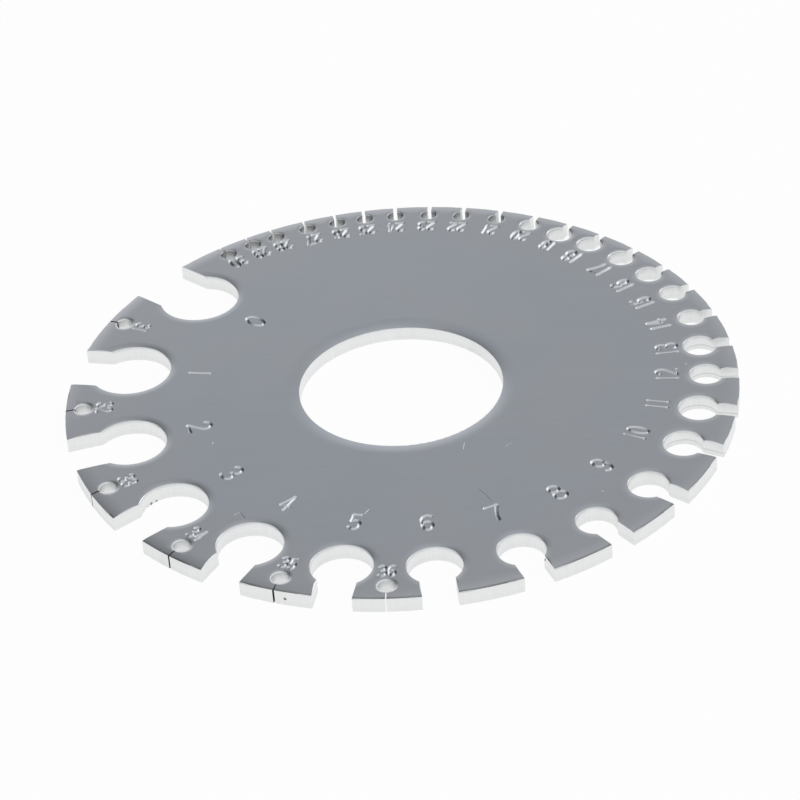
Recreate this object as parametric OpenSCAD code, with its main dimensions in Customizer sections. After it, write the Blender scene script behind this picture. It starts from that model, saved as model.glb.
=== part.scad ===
// Wire gauge plate: a flat round steel plate that wires are tried against to find their size.
// Gauges 0 to 30 are open slots round the rim, each ending in a round relief hole.
// Gauges 31 to 36 are hair-fine slits with a small hole, one in each of the six widest teeth.
// The numbered face is up, the back lies on Z = 0, and the axis of the centre hole is Z.

/* [Plate] */
// Outside diameter of the plate
plate_d = 82.55; // [76:0.05:96]
// Thickness of the plate
plate_t = 2; // [1.2:0.1:4]
// Diameter of the centre hole
bore_d = 25; // [10:0.1:40]
// Angle of gauge 0 about the centre, from +X
layout_turn = 137.5; // [0:0.5:360]

/* [Gauges] */
// Width of the finest gauge, number 36
finest_w = 0.127; // [0.1:0.001:0.135]
// How many times wider gauge 0000 of the series is than gauge 36
series_span = 92; // [70:1:100]
// Step of the relief hole sizes, one sixty-fourth of an inch
drill_step = 0.397; // [0.36:0.001:0.42]

/* [Edges] */
// Rounding of the rim on the numbered face
rim_round = 0.3; // [0.05:0.05:0.5]
// Rounding of the centre hole on the numbered face
bore_round = 0.4; // [0.05:0.05:0.6]
// Rounding of the relief holes on the numbered face
relief_round = 0.4; // [0.05:0.05:0.5]
// Break of the slot edges on the numbered face
slot_break = 0.1; // [0.02:0.01:0.15]

/* [Hidden] */
$fn = 96;

// The series has this many equal steps from gauge 0000 to gauge 36
series_steps = 39;
finest = 36;
last_slot = 30;

// Angle of each open slot from gauge 0, counter-clockwise on the numbered face
slot_angles = [
    0, 29.5, 55.5, 79.5, 100, 119, 136, 152, 167.5, 181.5, 195.5,
    207, 218, 227.5, 237, 246, 254, 262, 270, 277, 284,
    291, 298, 304.5, 311, 317, 322.5, 328.5, 335, 340, 345.5,
];

// Relief holes: the gauge from which a size holds, then the hole's diameter and
// the depth of its centre below the rim, both counted in drill steps
relief_sizes = [
    [0, 25, 18.5], [1, 25, 17.5], [2, 22, 18.5], [3, 20.5, 17], [4, 19.5, 16.5], [5, 18, 14.5],
    [6, 16, 13.5], [7, 14, 12.5], [8, 12, 11.5], [12, 10, 10], [14, 8, 8], [15, 8, 7],
    [20, 6, 6], [21, 5, 5.5],
];

rim_r = plate_d / 2;
bore_r = bore_d / 2;

// How far cutting shapes run past the faces that they cut
past = 1;

// The edge of a small hole rounds over by at most this share of its diameter
roll_share = 1 / 8;
// The edge of a narrow slot is broken by at most this share of its width
break_share = 1 / 4;

// Width of a gauge: the sizes fall by one constant ratio from step to step
function gauge_w(n) = finest_w * pow(series_span, (finest - n) / series_steps);

// A slit stands in the middle of the tooth after the slot whose number it follows
function between(a, b) = (slot_angles[a] + slot_angles[b]) / 2;
function gauge_angle(n) = n <= last_slot ? slot_angles[n] : between(n - last_slot - 1, n - last_slot);

// The last row of the relief sizes that starts at or before this gauge
function relief_row(n, row = len(relief_sizes) - 1) =
    relief_sizes[row][0] <= n ? relief_sizes[row] : relief_row(n, row - 1);
function relief_d(n) = relief_row(n)[1] * drill_step;
function relief_depth(n) = relief_row(n)[2] * drill_step;

// What a rounded corner takes off a section; the corner is at the origin and points to +X and +Y
module corner_waste(r) {
    translate([-r, -r])
        difference() {
            square(r + past);
            circle(r);
        }
}

// Blanked disc with its pierced centre hole, both rounded over on the numbered face
module plate_blank() {
    rotate_extrude()
        difference() {
            translate([bore_r, 0]) square([rim_r - bore_r, plate_t]);
            translate([rim_r, plate_t]) corner_waste(rim_round);
            translate([bore_r, plate_t]) mirror([1, 0]) corner_waste(bore_round);
        }
}

// Cutting shape of a pierced relief hole, which widens at the top by the rounding of its edge
module relief_cut(d, roll) {
    below_roll = plate_t - roll;
    rotate_extrude()
        difference() {
            translate([0, -past]) square([d / 2 + roll, plate_t + 2 * past]);
            translate([d / 2, below_roll - plate_t - past]) square([roll + past, plate_t + past]);
            translate([d / 2 + roll, below_roll]) circle(roll);
        }
}

// Cutting shape of a straight slot from the hole's centre out past the rim, with broken top edges
module slot_cut(w, length, edge) {
    flare = w / 2 + edge + past;
    rotate([90, 0, 90])
        linear_extrude(length + past)
            polygon([
                [-w / 2, -past], [w / 2, -past], [w / 2, plate_t - edge],
                [flare, plate_t + past], [-flare, plate_t + past], [-w / 2, plate_t - edge],
            ]);
}

// One gauge: its slot and the relief hole at the slot's inner end
module gauge_cut(n) {
    w = gauge_w(n);
    d = relief_d(n);
    depth = relief_depth(n);
    rotate(layout_turn + gauge_angle(n))
        translate([rim_r - depth, 0, 0]) {
            relief_cut(d, min(relief_round, d * roll_share));
            slot_cut(w, depth, min(slot_break, w * break_share));
        }
}

module gauge_plate() {
    color([0.58, 0.60, 0.63])
        difference() {
            plate_blank();
            for (n = [0:finest])
                gauge_cut(n);
        }
}

gauge_plate();
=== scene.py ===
import math
import random

import bmesh
import bpy
from mathutils import Matrix, Vector


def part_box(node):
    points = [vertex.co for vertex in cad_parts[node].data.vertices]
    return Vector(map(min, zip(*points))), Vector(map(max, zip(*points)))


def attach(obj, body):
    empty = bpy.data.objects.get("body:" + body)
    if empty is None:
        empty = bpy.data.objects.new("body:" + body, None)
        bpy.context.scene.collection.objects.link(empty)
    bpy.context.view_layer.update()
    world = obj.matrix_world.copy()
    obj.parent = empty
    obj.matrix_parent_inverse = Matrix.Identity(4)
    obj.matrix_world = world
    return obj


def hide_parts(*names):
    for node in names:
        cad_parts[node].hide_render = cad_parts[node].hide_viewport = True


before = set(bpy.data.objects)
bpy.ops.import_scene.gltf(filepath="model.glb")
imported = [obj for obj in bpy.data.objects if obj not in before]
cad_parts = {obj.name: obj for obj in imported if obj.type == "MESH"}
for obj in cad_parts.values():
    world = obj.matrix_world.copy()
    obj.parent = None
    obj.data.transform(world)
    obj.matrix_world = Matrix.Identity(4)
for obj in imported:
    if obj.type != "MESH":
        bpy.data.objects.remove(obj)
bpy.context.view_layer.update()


# Plate blank
# One disc of plated steel sheet, blanked and pierced in a press: a centre hole, graded slots
# round the rim and a relief hole at the inner end of each slot. A copy of the solid is worked on.
MM = 0.001
PLATE_NODE = "gauge_plate"
WELD = 0.00005 * MM

plate_low, plate_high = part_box(PLATE_NODE)
rim_r = (plate_high.x - plate_low.x) / 2
face_z = plate_high.z
back_z = plate_low.z


def new_object(name, data):
    """An object at the origin that shows this mesh or curve."""
    made = bpy.data.objects.new(name, data)
    bpy.context.scene.collection.objects.link(made)
    return made


def evaluated_mesh(source):
    """A new mesh with the object's modifiers or curve bevel worked in."""
    bpy.context.view_layer.update()
    shape = source.evaluated_get(bpy.context.evaluated_depsgraph_get())
    return bpy.data.meshes.new_from_object(shape)


blank = bmesh.new()
blank.from_mesh(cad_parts[PLATE_NODE].data)
bmesh.ops.remove_doubles(blank, verts=blank.verts[:], dist=WELD)
plate_mesh = bpy.data.meshes.new("stamped_plate")
blank.to_mesh(plate_mesh)
blank.free()
plate_mesh.materials.clear()
plate_mesh.attributes.remove(plate_mesh.attributes["custom_normal"])
plate = new_object("stamped_plate", plate_mesh)


def cut_plate(cutter):
    """Takes the cutter's shape out of the plate."""
    cut = plate.modifiers.new(cutter.name, "BOOLEAN")
    cut.operation = "DIFFERENCE"
    cut.solver = "MANIFOLD"
    cut.object = cutter
    plate.data = evaluated_mesh(plate)
    plate.modifiers.clear()
    bpy.data.objects.remove(cutter)


# Rolled edges
# The press drew the numbered face down round each hole and along the rim before it sheared through,
# so the face falls away softly there. Lathe-turned rings are cut out of the plate.
FINEST = 36
LAST_SLOT = 30
LAYOUT_TURN = 137.5
SLOT_ANGLES = [
    0, 29.5, 55.5, 79.5, 100, 119, 136, 152, 167.5, 181.5, 195.5,
    207, 218, 227.5, 237, 246, 254, 262, 270, 277, 284,
    291, 298, 304.5, 311, 317, 322.5, 328.5, 335, 340, 345.5,
]
# From this gauge on, the relief hole's diameter and the depth of its centre below the rim,
# both counted in drill steps of a sixty-fourth of an inch
DRILL_STEP = 0.397
RELIEF_SIZES = {
    0: (25, 18.5), 1: (25, 17.5), 2: (22, 18.5), 3: (20.5, 17), 4: (19.5, 16.5), 5: (18, 14.5),
    6: (16, 13.5), 7: (14, 12.5), 8: (12, 11.5), 12: (10, 10), 14: (8, 8), 15: (8, 7),
    20: (6, 6), 21: (5, 5.5),
}
BORE_R = 12.5
# Width of each rolled edge, how far it falls and how many sides its ring is turned with
RIM_ROLL = 2.0
RIM_FALL = 0.17
RIM_SIDES = 240
BORE_ROLL = 2.0
BORE_FALL = 0.24
BORE_SIDES = 128
RELIEF_ROLL = 1.1
RELIEF_FALL_SHARE = 0.125
FINE_FALL_SHARE = 0.22
RELIEF_SIDES = 64
# A small hole's edge rolls over by at most this share of its diameter
SMALL_ROLL_SHARE = 0.3
ROLL_STEPS = 10
# The rings run past the edge by this much, and end this far above the face that they cut
ROLL_OVERHANG = 0.15
ROLL_LIFT = 0.0005
RING_HEIGHT = 0.5


def gauge_turn(n):
    """Direction of a gauge from the centre in radians; fine slits stand in the middle of a tooth."""
    if n <= LAST_SLOT:
        angle = SLOT_ANGLES[n]
    else:
        tooth = n - LAST_SLOT - 1
        angle = (SLOT_ANGLES[tooth] + SLOT_ANGLES[tooth + 1]) / 2
    return math.radians(LAYOUT_TURN + angle)


def from_gauge(table, n):
    """The entry of the last key at or below this gauge."""
    return table[max(key for key in table if key <= n)]


def add_roll(rings, centre, edge_r, width, fall, sides):
    """Adds the ring that rolls an edge over; a width below 0 rolls the edge inwards, as on the rim."""
    start = -ROLL_OVERHANG / abs(width)
    section = []
    for i in range(ROLL_STEPS + 1):
        t = start + (1 - start) * i / ROLL_STEPS
        section.append((edge_r + t * width, ROLL_LIFT - (fall + ROLL_LIFT) * (1 - t) ** 2))
    section.append((edge_r + width, RING_HEIGHT))
    section.append((edge_r + start * width, RING_HEIGHT))
    rows = []
    for i in range(sides):
        angle = 2 * math.pi * i / sides
        outward = Vector((math.cos(angle), math.sin(angle)))
        spots = [(centre + outward * r, z) for r, z in section]
        rows.append([rings.verts.new((p.x * MM, p.y * MM, face_z + z * MM)) for p, z in spots])
    for i, row in enumerate(rows):
        following = rows[(i + 1) % sides]
        for j in range(len(section)):
            k = (j + 1) % len(section)
            rings.faces.new((row[j], row[k], following[k], following[j]))


def roll_edges(name, edges):
    """Cuts the rolled edges of these circles; each has a centre, radius, width, fall and sides."""
    rings = bmesh.new()
    for edge in edges:
        add_roll(rings, *edge)
    bmesh.ops.recalc_face_normals(rings, faces=rings.faces[:])
    ring_mesh = bpy.data.meshes.new(name)
    rings.to_mesh(ring_mesh)
    rings.free()
    cut_plate(new_object(name, ring_mesh))


plate_middle = Vector((0, 0))
rim_edge = (plate_middle, rim_r / MM, -RIM_ROLL, RIM_FALL, RIM_SIDES)
bore_edge = (plate_middle, BORE_R, BORE_ROLL, BORE_FALL, BORE_SIDES)
roll_edges("plate_rolls", [rim_edge, bore_edge])
# Each gauge's direction from the centre, then the radius and the middle of its relief hole in mm
gauge_places = []
relief_edges = []
for gauge in range(FINEST + 1):
    hole_steps, depth_steps = from_gauge(RELIEF_SIZES, gauge)
    hole_r = hole_steps * DRILL_STEP / 2
    outward = Vector((math.cos(gauge_turn(gauge)), math.sin(gauge_turn(gauge))))
    hole_middle = outward * (rim_r / MM - depth_steps * DRILL_STEP)
    gauge_places.append((outward, hole_r, hole_middle))
    roll = min(RELIEF_ROLL, 2 * hole_r * SMALL_ROLL_SHARE)
    fall_share = RELIEF_FALL_SHARE if gauge <= LAST_SLOT else FINE_FALL_SHARE
    relief_edges.append((hole_middle, hole_r, roll, roll * fall_share, RELIEF_SIDES))
roll_edges("relief_rolls", relief_edges)


# Gauge numbers
# Plain figures 0 to 36, struck one by one with hand punches on the line of their slot.
# Each stroke is a V-shaped groove with sloping ends, and the tops point to the centre.
# Distance of each figure's middle from the centre, from gauge 0 to gauge 20, in mm
NUMBER_RADII = [
    24.3, 25.5, 25.4, 26.0, 26.5, 27.7, 28.2, 29.1, 29.8, 30.1, 30.8,
    31.8, 32.6, 33.2, 33.8, 34.1, 34.1, 34.6, 34.7, 35.4, 35.9,
]
# From this gauge on, the radius of the figures' middle in mm
LATER_RADII = {21: 36.2, 28: 36.6, 31: 36.5}
# From this gauge on, the figures' height, the half width of their strokes and that of straight
# strokes between their ends, in mm; a punch bites deeper at the ends of a stroke than along it
PUNCH_SIZES = {
    0: (2.7, 0.24, 0.2), 10: (2.55, 0.24, 0.13), 14: (2.35, 0.28, 0.26), 19: (2.0, 0.25, 0.23),
    31: (1.85, 0.22, 0.2),
}
END_BITE = 1.15
END_RUN = 1.5
GROOVE_SLOPE = 0.8
# The strokes' widest level stands this far outside the face
GROOVE_LIFT = 0.01 * MM
FIGURE_PITCH = 0.6
SLIM_PITCH = 0.42
SLIM_FIGURES = "1."
GROUP_NARROWING = 0.78
PUNCH_TILT = 2.5
PUNCH_DRIFT = 0.05
BOW_STEP = 15


def number_radius(n):
    """Distance of a gauge's figures from the centre in mm."""
    if n < len(NUMBER_RADII):
        return NUMBER_RADII[n]
    return from_gauge(LATER_RADII, n)


def bow(centre_x, centre_y, half_w, half_h, start, end):
    """Points along part of an oval, from one angle in degrees to another."""
    count = max(2, round(abs(end - start) / BOW_STEP))
    angles = [math.radians(start + (end - start) * i / count) for i in range(count + 1)]
    return [(centre_x + half_w * math.cos(a), centre_y + half_h * math.sin(a)) for a in angles]


def line(*points):
    """An open stroke through these points."""
    return list(points), False


def ring(centre_x, centre_y, half_w, half_h):
    """A closed oval stroke."""
    return bow(centre_x, centre_y, half_w, half_h, 0, 360)[:-1], True


# Figures one unit tall, standing on y = 0 with x = 0 in their middle.
# Strokes that touch each other are in separate lists, which are cut one after another.
FIGURES = {
    "0": [[ring(0, 0.5, 0.27, 0.5)]],
    "1": [[line((0, 0), (0, 1))]],
    "2": [
        [line(*bow(0, 0.73, 0.26, 0.27, 165, -40), (-0.28, 0.02))],
        [line((-0.28, 0), (0.29, 0))],
    ],
    "3": [
        [line(*bow(-0.03, 0.76, 0.25, 0.24, 150, -90))],
        [line(*bow(-0.03, 0.26, 0.3, 0.26, 90, -150))],
    ],
    "4": [
        [line((0.06, 1), (-0.22, 0.28))],
        [line((-0.22, 0.28), (0.22, 0.28))],
        [line((0.09, 1), (0.09, 0))],
    ],
    "5": [
        [line((-0.16, 1), (0.2, 1)), line(*bow(-0.03, 0.31, 0.24, 0.31, 125, -150))],
        [line((-0.17, 0.99), (-0.19, 0.54))],
    ],
    "6": [
        [ring(0, 0.29, 0.22, 0.29)],
        [line(*bow(0.05, 0.62, 0.27, 0.38, 200, 45))],
    ],
    "7": [
        [line((-0.28, 1), (0.28, 1))],
        [line((0.28, 0.99), (0.1, 0.62), (-0.02, 0.3), (-0.06, 0))],
    ],
    "8": [
        [ring(0, 0.76, 0.22, 0.24)],
        [ring(0, 0.27, 0.28, 0.27)],
    ],
    "9": [
        [ring(0, 0.71, 0.23, 0.29)],
        [line(*bow(-0.05, 0.38, 0.26, 0.38, 20, -135))],
    ],
    ".": [[line((0, 0), (0, 0.03), (0, 0.06))]],
}
STROKE_PASSES = 3
# Neighbouring figures may touch too, so every other figure has passes of its own
FIGURE_TURNS = 2


def strike(passes, text, centre, up, size, side, punch):
    """Adds the strokes of some figures, side by side about a centre, to the lists of each pass."""
    height, half_stroke, half_shank = size
    half_end = half_stroke * END_BITE
    narrowing = 1 if len(text) == 1 else GROUP_NARROWING
    pitches = [SLIM_PITCH if figure in SLIM_FIGURES else FIGURE_PITCH for figure in text]
    for place, figure in enumerate(text):
        tilt = math.radians(punch.uniform(-PUNCH_TILT, PUNCH_TILT))
        drift = height * punch.uniform(-PUNCH_DRIFT, PUNCH_DRIFT)
        own_up = Matrix.Rotation(tilt, 2) @ up
        right = Vector((own_up.y, -own_up.x)) * side
        shift = sum(pitches[:place]) + (pitches[place] - sum(pitches)) / 2
        middle = centre + Vector((up.y, -up.x)) * side * shift * height + own_up * drift
        own_passes = passes[place % FIGURE_TURNS * STROKE_PASSES:]
        for cut_pass, strokes in zip(own_passes, FIGURES[figure]):
            for points, closed in strokes:
                spots = [middle + height * (right * x * narrowing + own_up * (y - 0.5)) for x, y in points]
                widths = [half_stroke] * len(spots)
                if len(spots) == 2:
                    run = (spots[1] - spots[0]).normalized() * half_stroke * END_RUN
                    spots = [spots[0], spots[0] + run, spots[1] - run, spots[1]]
                    widths = [half_shank] * len(spots)
                if not closed:
                    widths[0] = half_end
                    widths[-1] = half_end
                cut_pass.append((spots, closed, widths))


def groove_cutter(name, strokes, level):
    """Mesh object of four-sided rods along the strokes, at one level in the plate."""
    curve = bpy.data.curves.new(name, "CURVE")
    curve.dimensions = "3D"
    curve.twist_mode = "Z_UP"
    curve.bevel_depth = MM
    curve.bevel_resolution = 0
    curve.use_fill_caps = True
    for spots, closed, widths in strokes:
        if not closed:
            start_tip = spots[0] + (spots[0] - spots[1]).normalized() * widths[0]
            end_tip = spots[-1] + (spots[-1] - spots[-2]).normalized() * widths[-1]
            spots = [start_tip, *spots, end_tip]
            widths = [0, *widths, 0]
        spline = curve.splines.new("POLY")
        spline.points.add(len(spots) - 1)
        spline.use_cyclic_u = closed
        for point, spot, width in zip(spline.points, spots, widths):
            point.co = (spot.x * MM, spot.y * MM, 0, 1)
            point.radius = width
    route = new_object(name + "_route", curve)
    rods = bmesh.new()
    rods.from_mesh(evaluated_mesh(route))
    bpy.data.objects.remove(route)
    bmesh.ops.remove_doubles(rods, verts=rods.verts[:], dist=WELD)
    bmesh.ops.scale(rods, vec=(1, 1, GROOVE_SLOPE), verts=rods.verts[:])
    bmesh.ops.translate(rods, vec=(0, 0, level), verts=rods.verts[:])
    bmesh.ops.recalc_face_normals(rods, faces=rods.faces[:])
    rod_mesh = bpy.data.meshes.new(name)
    rods.to_mesh(rod_mesh)
    rods.free()
    return new_object(name, rod_mesh)


punch = random.Random(36)
number_passes = [[] for _ in range(FIGURE_TURNS * STROKE_PASSES)]
for gauge, (outward, _, _) in enumerate(gauge_places):
    size = from_gauge(PUNCH_SIZES, gauge)
    strike(number_passes, str(gauge), outward * number_radius(gauge), -outward, size, 1, punch)
for i, strokes in enumerate(number_passes):
    cut_plate(groove_cutter(f"number_strokes_{i}", strokes, face_z + GROOVE_LIFT))


# Inch sizes
# The back of such plates carries each gauge's wire diameter in inches, to four places.
# The figures are smaller and run along the line of their slot, out towards the rim.
FINEST_INCH = 0.005
SERIES_SPAN = 92
SERIES_STEPS = 39
# Height, half width of the strokes and half width of straight strokes, in mm
SIZE_PUNCH = (1.45, 0.09, 0.085)
SIZE_INSET = 1.8

size_passes = [[] for _ in range(FIGURE_TURNS * STROKE_PASSES)]
for gauge, (outward, _, _) in enumerate(gauge_places):
    inches = FINEST_INCH * SERIES_SPAN ** ((FINEST - gauge) / SERIES_STEPS)
    spot = outward * (number_radius(gauge) - SIZE_INSET)
    figures = f"{inches:.4f}".lstrip("0")
    sideways = Vector((outward.y, -outward.x))
    strike(size_passes, figures, spot, sideways, SIZE_PUNCH, -1, punch)
for i, strokes in enumerate(size_passes):
    cut_plate(groove_cutter(f"size_strokes_{i}", strokes, back_z - GROOVE_LIFT))


# Slit mouths
# The fine slits of gauges 34 and 35 show as dark lines down the rim, so each mouth is opened a
# little there. A square rod stands at each with one corner inwards, and is cut out.
MOUTH_GAUGES = (34, 35)
MOUTH_REACH = 0.12
MOUTH_SIDES = 4

mouths = bmesh.new()
for gauge in MOUTH_GAUGES:
    turn = gauge_turn(gauge)
    spot = Vector((math.cos(turn) * rim_r, math.sin(turn) * rim_r, (face_z + back_z) / 2))
    bmesh.ops.create_cone(
        mouths, cap_ends=True, segments=MOUTH_SIDES, radius1=MOUTH_REACH * MM, radius2=MOUTH_REACH * MM,
        depth=2 * (face_z - back_z), matrix=Matrix.Translation(spot) @ Matrix.Rotation(turn, 4, "Z"),
    )
mouth_mesh = bpy.data.meshes.new("slit_mouths")
mouths.to_mesh(mouth_mesh)
mouths.free()
cut_plate(new_object("slit_mouths", mouth_mesh))


# Wear
# Hair scratches and ticks that handling has left on the numbered face, and nicks where the press
# tore a wall. Each is a real groove or dent, in mm: the places it runs through, then its half width.
FACE_MARKS = [
    ([(-5.6, -25.8), (-5.2, -25.3), (-4.8, -24.7)], 0.05),
    ([(8.0, -22.4), (8.8, -23.7), (9.4, -25.2)], 0.04),
    ([(-20.5, -23.8), (-19.8, -23.3), (-19.2, -24.5)], 0.06),
    ([(7.0, -13.3), (6.8, -14.5)], 0.07),
    ([(11.8, -14.6), (12.2, -14.2), (12.6, -14.1)], 0.05),
    ([(22.2, -24.8), (22.4, -24.9)], 0.09),
    ([(-23.0, -9.1), (-23.1, -9.4)], 0.06),
    ([(34.9, -0.7), (35.1, -0.6)], 0.08),
]
# Middle and half size of each nick in mm, and how far it is darkened from 0 to 1
WALL_NICKS = [
    ((-14.86, -38.51, 0.9), 0.19, 0.5),
    ((-30.5, -17.9, 0.2), 0.2, 0.15),
    ((-29.9, -17.4, 0.15), 0.16, 0.15),
    ((-31.0, -18.5, 0.1), 0.22, 0.15),
    ((14.54, -35.6, 1.45), 0.36, 1),
]
mark_strokes = []
for spots, half in FACE_MARKS:
    mark_strokes.append(([Vector(spot) for spot in spots], False, [half] * len(spots)))
cut_plate(groove_cutter("face_marks", mark_strokes, face_z + GROOVE_LIFT))
dents = bmesh.new()
for nick, half, _ in WALL_NICKS:
    spot = Matrix.Translation(Vector(nick) * MM)
    bmesh.ops.create_icosphere(dents, subdivisions=2, radius=half * MM, matrix=spot)
dent_mesh = bpy.data.meshes.new("wall_nicks")
dents.to_mesh(dent_mesh)
dents.free()
cut_plate(new_object("wall_nicks", dent_mesh))


# Plated steel
# Satin grey plating on the faces, with faint clouding, fine grain and hair scratches.
# The sheared walls are brighter, with upright drag marks and a torn zone towards the back.
SHARP_TURN = math.radians(28)
LEVEL_NORMAL = 0.999999
STEEP_NORMAL = 0.8
FACE_TILT = 0.95
WALL_TILT = 0.45
FACE_COOL = (0.43, 0.47, 0.523, 1)
FACE_PLAIN = (0.464, 0.491, 0.529, 1)
FACE_RIM = (0.455, 0.476, 0.508, 1)
WALL_BRIGHT = (0.85, 0.86, 0.86, 1)
WALL_DULL = (0.81, 0.82, 0.825, 1)
WALL_LINE = (0.5, 0.505, 0.51, 1)
# Painted shade: the walls of the narrow gauges and the fine slits are mixed towards this dark, and the
# nicks are darkened towards it too
PAINTED_SHADE_DARK = (0.05, 0.05, 0.055, 1)
# Painted dark reflection, laid along the near part of the rim's edge
PAINTED_RIM_REFLECTION = (0.2, 0.2, 0.2, 1)
# Noise scales in features to a metre, and how the nap and the drag marks are stretched
CLOUD_SCALE = 70
GRAIN_SCALE = 5000
NAP_TURN = 0.4
NAP_STRETCH = (60, 1500, 60)
DRAG_SCALE = 4000
DRAG_STRETCH = (1, 1, 0.04)
RAGGED_SCALE = 300
RAGGED_REACH = 0.15 * MM
TORN_SCALE = 9000
# Height of the line on the walls, its half width and the half width of the torn zone's upper end
SEAM_HEIGHT = 0.62 * MM
SEAM_HALF = 0.12 * MM
TORN_HALF = 0.05 * MM
# The rim's tint starts at this share of its radius; its painted dark reflection line starts and ends this
# far inside it
RIM_TINT_SHARE = 0.7
PAINTED_RIM_REFLECTION_START = 0.4 * MM
PAINTED_RIM_REFLECTION_END = 0.15 * MM
PAINTED_RIM_REFLECTION_SCALE = 250
# The painted dark reflection along the rim's edge fades in between these places along Y
PAINTED_RIM_REFLECTION_NEAR_START = -15 * MM
PAINTED_RIM_REFLECTION_NEAR_END = -30 * MM
BUMP_STRENGTH = 0.35
BUMP_DISTANCE = 0.002 * MM
# In the photo the narrow gauges look darker inside than the others, the fine slits nearly black and
# the finest one light, so its walls are smooth and mirror the floor
# Painted shade darkens the walls of the narrow gauges and the fine slits by these shares
FIRST_NARROW = 21
NARROW_SHADE = 0.33
SLIT_SHADE = 1.0
POLISHED_ROUGH = 0.06
# In the photo a line runs along the walls of these gauges; the others have a faint one
TORN_GAUGES = range(10, 14)
CLEAR_LINE = 0.65
FAINT_LINE = 0.05
# How far from a hole's or slot's middle line a wall still belongs to it, in mm
HOLE_MARGIN = 0.15
SLIT_MARGIN = 0.2
SLIT_START = 0.03
# The lips of the fine gauges' holes are as bright as the walls up to this far from the hole, in mm
FINE_LIP = 0.18
# How far outside a nick its corners may lie, in mm
NICK_MARGIN = 0.01

# Level faces are shaded flat right up to the rolled edges, which are shaded smooth
skin = bmesh.new()
skin.from_mesh(plate.data)
bmesh.ops.dissolve_degenerate(skin, dist=WELD, edges=skin.edges[:])
skin.normal_update()
for face in skin.faces:
    face.smooth = True
for edge in skin.edges:
    kinds = {abs(face.normal.z) > LEVEL_NORMAL for face in edge.link_faces}
    edge.smooth = len(kinds) == 1 and edge.calc_face_angle(0) < SHARP_TURN
skin.to_mesh(plate.data)
skin.free()

# How far a spot belongs to a sheared wall: 0 on the faces, 1 on the walls and the fine gauges' lips
fine_places = gauge_places[LAST_SLOT + 1:]
sheared = plate.data.attributes.new("sheared", "FLOAT", "CORNER")
for corner, normal, entry in zip(plate.data.loops, plate.data.corner_normals, sheared.data):
    upright = abs(normal.vector.z)
    steepness = (FACE_TILT - upright) / (FACE_TILT - WALL_TILT)
    entry.value = min(1, max(0, steepness))
    spot = plate.data.vertices[corner.vertex_index].co.xy / MM
    for _, hole_r, hole_middle in fine_places:
        if upright < LEVEL_NORMAL and (spot - hole_middle).length < hole_r + FINE_LIP:
            entry.value = 1


def gauge_at(spot):
    """The gauge whose relief hole, slot or slit this spot lies in, or none."""
    for n, (outward, hole_r, hole_middle) in enumerate(gauge_places):
        away = spot.xy / MM - hole_middle
        along = away.dot(outward)
        aside = abs(away.cross(outward))
        in_slit = n > LAST_SLOT and along > hole_r - SLIT_START and aside < SLIT_MARGIN
        in_hole = n <= LAST_SLOT and along > -hole_r - HOLE_MARGIN and aside < hole_r + HOLE_MARGIN
        if in_slit or in_hole:
            return n
    return None


def nick_shade(spot):
    """How far the nick that this spot lies in is darkened, or 0 where it lies in none."""
    for nick, half, darkness in WALL_NICKS:
        if (spot / MM - Vector(nick)).length < half + NICK_MARGIN:
            return darkness
    return 0


# Painted shade, polish and torn line of each face, by the gauge or nick that all its corners lie in
gauges = [gauge_at(vertex.co) for vertex in plate.data.vertices]
nicked = [nick_shade(vertex.co) for vertex in plate.data.vertices]
shade = plate.data.attributes.new("shade", "FLOAT", "FACE")
polish = plate.data.attributes.new("polish", "FLOAT", "FACE")
torn_line = plate.data.attributes.new("torn_line", "FLOAT", "FACE")
for face in plate.data.polygons:
    darkness = min(nicked[i] for i in face.vertices)
    if darkness > 0:
        shade.data[face.index].value = darkness
        continue
    found = {gauges[i] for i in face.vertices}
    gauge = found.pop() if len(found) == 1 else None
    if gauge is None or abs(face.normal.z) > STEEP_NORMAL:
        continue
    torn_line.data[face.index].value = CLEAR_LINE if gauge in TORN_GAUGES else FAINT_LINE
    if gauge == FINEST:
        polish.data[face.index].value = 1
    elif gauge > LAST_SLOT:
        shade.data[face.index].value = SLIT_SHADE
    elif gauge >= FIRST_NARROW:
        shade.data[face.index].value = NARROW_SHADE


def add_node(tree, kind, inputs, **settings):
    """A new shader node; each input is given a value or linked to another node's output."""
    made = tree.nodes.new(kind)
    for name, value in settings.items():
        setattr(made, name, value)
    for name, value in inputs.items():
        if isinstance(value, bpy.types.NodeSocket):
            tree.links.new(value, made.inputs[name])
        else:
            made.inputs[name].default_value = value
    return made


def noise(tree, vector, scale, detail=2, roughness=0.5):
    """Output of a noise whose scale counts features to a metre."""
    inputs = {"Vector": vector, "Scale": scale, "Detail": detail, "Roughness": roughness}
    return add_node(tree, "ShaderNodeTexNoise", inputs).outputs["Fac"]


def remap(tree, value, low, high, to_low=0.0, to_high=1.0):
    """Output of a value stretched from one range to another and held within it."""
    inputs = {"Value": value, "From Min": low, "From Max": high, "To Min": to_low, "To Max": to_high}
    return add_node(tree, "ShaderNodeMapRange", inputs).outputs["Result"]


def blend_colours(tree, share, first, second):
    """Output of two colours mixed by a share."""
    mixed = add_node(tree, "ShaderNodeMix", {0: share, 6: first, 7: second}, data_type="RGBA")
    return mixed.outputs[2]


def blend_values(tree, share, first, second):
    """Output of two values mixed by a share."""
    return add_node(tree, "ShaderNodeMix", {0: share, 2: first, 3: second}).outputs[0]


def multiply(tree, first, second):
    """Output of the product of two values."""
    return add_node(tree, "ShaderNodeMath", {0: first, 1: second}, operation="MULTIPLY").outputs[0]


def add(tree, first, second):
    """Output of the sum of two values."""
    return add_node(tree, "ShaderNodeMath", {0: first, 1: second}, operation="ADD").outputs[0]


metal = bpy.data.materials.new("plated_steel")
metal.use_nodes = True
tree = metal.node_tree
place = add_node(tree, "ShaderNodeTexCoord", {}).outputs["Object"]
wall = add_node(tree, "ShaderNodeAttribute", {}, attribute_name="sheared").outputs["Fac"]

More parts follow.
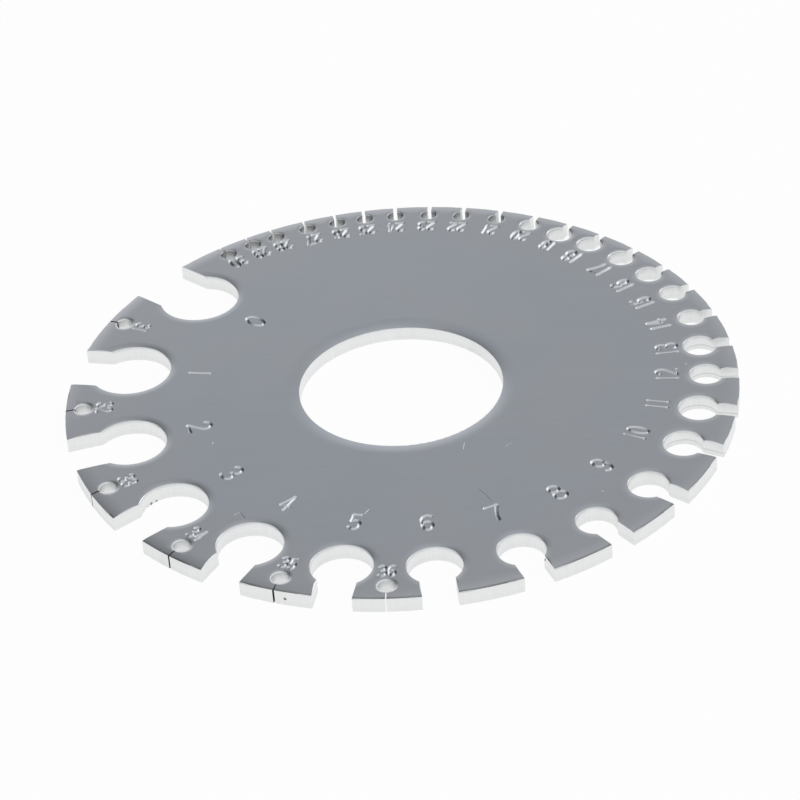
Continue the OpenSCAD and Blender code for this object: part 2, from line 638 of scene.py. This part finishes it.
# Faces: clouds some 15 mm across, a faint nap along one direction and grain of 0.2 mm
cloud = remap(tree, noise(tree, place, CLOUD_SCALE, 4, 0.55), 0.35, 0.65)
combed = add_node(
    tree, "ShaderNodeMapping", {"Vector": place, "Rotation": (0, 0, NAP_TURN), "Scale": NAP_STRETCH},
).outputs["Vector"]
nap = noise(tree, combed, 1, 3)
face_share = add(tree, multiply(tree, cloud, 0.7), remap(tree, nap, 0.3, 0.7, 0, 0.3))
face_colour = blend_colours(tree, face_share, FACE_COOL, FACE_PLAIN)
spread = add_node(tree, "ShaderNodeSeparateXYZ", {"Vector": place}).outputs
flat_place = add_node(tree, "ShaderNodeVectorMath", {0: place, 1: (1, 1, 0)}, operation="MULTIPLY")
from_centre = add_node(
    tree, "ShaderNodeVectorMath", {0: flat_place.outputs["Vector"]}, operation="LENGTH",
).outputs["Value"]
rim_share = remap(tree, from_centre, RIM_TINT_SHARE * rim_r, rim_r)
face_colour = blend_colours(tree, rim_share, face_colour, FACE_RIM)
# Painted dark reflection: a dark line is painted along the near part of the rim's edge
painted_rim_reflection_share = remap(tree, from_centre, rim_r - PAINTED_RIM_REFLECTION_START, rim_r - PAINTED_RIM_REFLECTION_END)
painted_rim_reflection_share = multiply(tree, painted_rim_reflection_share, remap(tree, spread["Y"], PAINTED_RIM_REFLECTION_NEAR_START, PAINTED_RIM_REFLECTION_NEAR_END))
reflection_unevenness = remap(tree, noise(tree, place, PAINTED_RIM_REFLECTION_SCALE), 0.35, 0.65, 0.3, 1)
painted_rim_reflection_share = multiply(tree, painted_rim_reflection_share, reflection_unevenness)
face_colour = blend_colours(tree, painted_rim_reflection_share, face_colour, PAINTED_RIM_REFLECTION)
grain = noise(tree, place, GRAIN_SCALE)
face_rough = add(tree, remap(tree, grain, 0.3, 0.7, 0.27, 0.31), remap(tree, nap, 0.3, 0.7, 0, 0.03))

# Walls: upright drag marks, and below a ragged line the torn zone
drawn = add_node(tree, "ShaderNodeMapping", {"Vector": place, "Scale": DRAG_STRETCH}).outputs["Vector"]
drag = noise(tree, drawn, DRAG_SCALE)
wander = remap(tree, noise(tree, drawn, RAGGED_SCALE), 0.2, 0.8, -RAGGED_REACH, RAGGED_REACH)
ragged = add(tree, spread["Z"], wander)
torn = remap(tree, ragged, SEAM_HEIGHT + TORN_HALF, SEAM_HEIGHT - TORN_HALF)
rising = remap(tree, ragged, SEAM_HEIGHT - SEAM_HALF, SEAM_HEIGHT)
falling = remap(tree, ragged, SEAM_HEIGHT + SEAM_HALF, SEAM_HEIGHT)
line_share = add_node(tree, "ShaderNodeAttribute", {}, attribute_name="torn_line").outputs["Fac"]
seam = multiply(tree, multiply(tree, rising, falling), line_share)
wall_colour = blend_colours(tree, remap(tree, drag, 0.3, 0.7), WALL_DULL, WALL_BRIGHT)
wall_colour = blend_colours(tree, seam, wall_colour, WALL_LINE)
wall_rough = blend_values(tree, torn, remap(tree, drag, 0.3, 0.7, 0.32, 0.38), 0.45)
polished = add_node(tree, "ShaderNodeAttribute", {}, attribute_name="polish").outputs["Fac"]
wall_rough = blend_values(tree, polished, wall_rough, POLISHED_ROUGH)

face_relief = multiply(tree, add(tree, grain, nap), 0.05)
torn_relief = multiply(tree, multiply(tree, torn, noise(tree, place, TORN_SCALE, 3)), 0.6)
wall_relief = add(tree, multiply(tree, drag, 0.12), torn_relief)
relief = blend_values(tree, wall, face_relief, wall_relief)
bump = add_node(
    tree, "ShaderNodeBump", {"Height": relief, "Strength": BUMP_STRENGTH, "Distance": BUMP_DISTANCE},
)
shader = tree.nodes["Principled BSDF"]
# Painted shade darkens the walls of the narrow gauges and the fine slits, and the nicks are darkened the
# same way
painted_shade_share = add_node(tree, "ShaderNodeAttribute", {}, attribute_name="shade").outputs["Fac"]
metal_colour = blend_colours(tree, wall, face_colour, wall_colour)
metal_colour = blend_colours(tree, painted_shade_share, metal_colour, PAINTED_SHADE_DARK)
tree.links.new(metal_colour, shader.inputs["Base Color"])
tree.links.new(blend_values(tree, wall, face_rough, wall_rough), shader.inputs["Roughness"])
tree.links.new(bump.outputs["Normal"], shader.inputs["Normal"])
shader.inputs["Metallic"].default_value = 1

plate.data.materials.clear()
plate.data.materials.append(metal)
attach(plate, "root")
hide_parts(PLATE_NODE)


# Floor
# A wide sheet of white paper that the plate lies on, which runs out of sight on every side.
# It shows as plain white to the camera and in the metal, keeps a faint shadow of the plate, and
# is clear from below.
FLOOR_HALF = 20
FLOOR_WHITE = (0.92, 0.92, 0.92, 1)
FLOOR_GLOW_SHARE = 0.95

sheet = bmesh.new()
bmesh.ops.create_grid(sheet, x_segments=1, y_segments=1, size=FLOOR_HALF)
bmesh.ops.translate(sheet, vec=(0, 0, back_z), verts=sheet.verts[:])
floor_mesh = bpy.data.meshes.new("floor")
sheet.to_mesh(floor_mesh)
sheet.free()
floor = new_object("floor", floor_mesh)
paper = bpy.data.materials.new("floor_paper")
paper.use_nodes = True
tree = paper.node_tree
tree.nodes.clear()
path = add_node(tree, "ShaderNodeLightPath", {}).outputs
seen = path["Is Camera Ray"]
for kind in ("Is Glossy Ray", "Is Transmission Ray"):
    seen = add_node(tree, "ShaderNodeMath", {0: seen, 1: path[kind]}, operation="MAXIMUM").outputs[0]
matt = add_node(tree, "ShaderNodeBsdfDiffuse", {"Color": FLOOR_WHITE})
glow = add_node(tree, "ShaderNodeEmission", {"Color": (1, 1, 1, 1), "Strength": 1.0})
lit = add_node(
    tree, "ShaderNodeMixShader",
    {0: multiply(tree, seen, FLOOR_GLOW_SHARE), 1: matt.outputs["BSDF"], 2: glow.outputs["Emission"]},
)
below = add_node(tree, "ShaderNodeNewGeometry", {}).outputs["Backfacing"]
clear = add_node(tree, "ShaderNodeBsdfTransparent", {})
lit = add_node(tree, "ShaderNodeMixShader", {0: below, 1: lit.outputs["Shader"], 2: clear.outputs["BSDF"]})
add_node(tree, "ShaderNodeOutputMaterial", {"Surface": lit.outputs["Shader"]})
floor.data.materials.append(paper)


# Light
# A white tent whose far side is open to a grey room, darker towards the left, so that the level
# face mirrors grey and every slope mirrors white; one soft lamp stands at the right.
# Brightness of the side behind the camera
NEAR_LEVEL = 0.85
# Brightness of the far side by the height of the view: 0 at the horizon, 1 overhead
FAR_LEVELS = [
    (0.0, 1.0), (0.34, 0.92), (0.46, 0.79), (0.52, 0.6), (0.575, 0.47), (0.63, 0.535), (0.71, 0.65),
    (0.79, 0.76), (0.87, 0.88), (0.94, 1.0),
]
# Share of it that is left by the direction of the view, 0 at the left and 1 at the right:
# the room is lighter low down than high up
LOW_SIDE_LEVELS = [
    (0.22, 0.03), (0.27, 0.15), (0.31, 0.9), (0.34, 1.35), (0.4, 1.15), (0.44, 1.04), (0.48, 1.0),
    (0.56, 0.88), (0.66, 1.0),
]
HIGH_SIDE_LEVELS = [
    (0.22, 0.03), (0.33, 0.06), (0.4, 0.33), (0.44, 0.7), (0.48, 0.97), (0.56, 0.88), (0.66, 1.0),
]

# Heights of the view between which the low levels give way to the high ones, and
# depths of the view between which the near side gives way to the far side
HIGH_SIDE_START = (0.57, 0.7)
FAR_SIDE_START = (-0.1, 0.35)
LAMP_PLACE = Vector((0.9, 0.55, 0.55))
LAMP_POWER = 2
LAMP_SIZE = 0.8

world = bpy.data.worlds.new("studio")
bpy.context.scene.world = world
world.use_nodes = True
tree = world.node_tree
facing = add_node(tree, "ShaderNodeTexCoord", {}).outputs["Generated"]
facing = add_node(tree, "ShaderNodeSeparateXYZ", {"Vector": facing})


def level_ramp(tree, value, levels):
    """Output of a brightness that follows the given levels along a value from 0 to 1."""
    ramp = add_node(tree, "ShaderNodeValToRGB", {"Fac": value})
    stops = ramp.color_ramp.elements
    while len(stops) > 1:
        stops.remove(stops[-1])
    stops[0].position, first = levels[0]
    stops[0].color = (first, first, first, 1)
    for position, level in levels[1:]:
        stops.new(position).color = (level, level, level, 1)
    return ramp.outputs["Color"]


from_left = remap(tree, facing.outputs["X"], -1, 1)
height_level = level_ramp(tree, facing.outputs["Z"], FAR_LEVELS)
low_side = level_ramp(tree, from_left, LOW_SIDE_LEVELS)
high_side = level_ramp(tree, from_left, HIGH_SIDE_LEVELS)
side_level = blend_values(tree, remap(tree, facing.outputs["Z"], *HIGH_SIDE_START), low_side, high_side)
far_level = multiply(tree, height_level, side_level)
far_share = remap(tree, facing.outputs["Y"], *FAR_SIDE_START)
sky = tree.nodes["Background"]
tree.links.new(blend_values(tree, far_share, NEAR_LEVEL, far_level), sky.inputs["Strength"])
sky.inputs["Color"].default_value = (1, 1, 1, 1)

lamp = bpy.data.lights.new("right_lamp", "AREA")
lamp.energy = LAMP_POWER
lamp.size = LAMP_SIZE
softbox = new_object("right_lamp", lamp)
aim_lamp = (-LAMP_PLACE).to_track_quat("-Z", "Y").to_matrix().to_4x4()
softbox.matrix_world = Matrix.Translation(LAMP_PLACE) @ aim_lamp


# Camera
# It looks down on the plate from the side of gauges 5 and 6, with a long lens.
CAMERA_PLACE = Vector((0, -290.74, 205.75)) * MM
CAMERA_AIM = Vector((-0.27, -3.47, 2.0)) * MM
CAMERA_ROLL = -4.59
CAMERA_LENS = 130.3
CAMERA_SENSOR = 36
CAMERA_NEAREST = 10 * MM

camera_data = bpy.data.cameras.new("camera")
camera_data.lens = CAMERA_LENS
camera_data.sensor_width = CAMERA_SENSOR
camera_data.clip_start = CAMERA_NEAREST
camera = new_object("camera", camera_data)
look = (CAMERA_AIM - CAMERA_PLACE).to_track_quat("-Z", "Y").to_matrix().to_4x4()
lean = Matrix.Rotation(math.radians(CAMERA_ROLL), 4, "Z")
camera.matrix_world = Matrix.Translation(CAMERA_PLACE) @ look @ lean
bpy.context.scene.camera = camera
bpy.context.scene.view_settings.view_transform = "Standard"
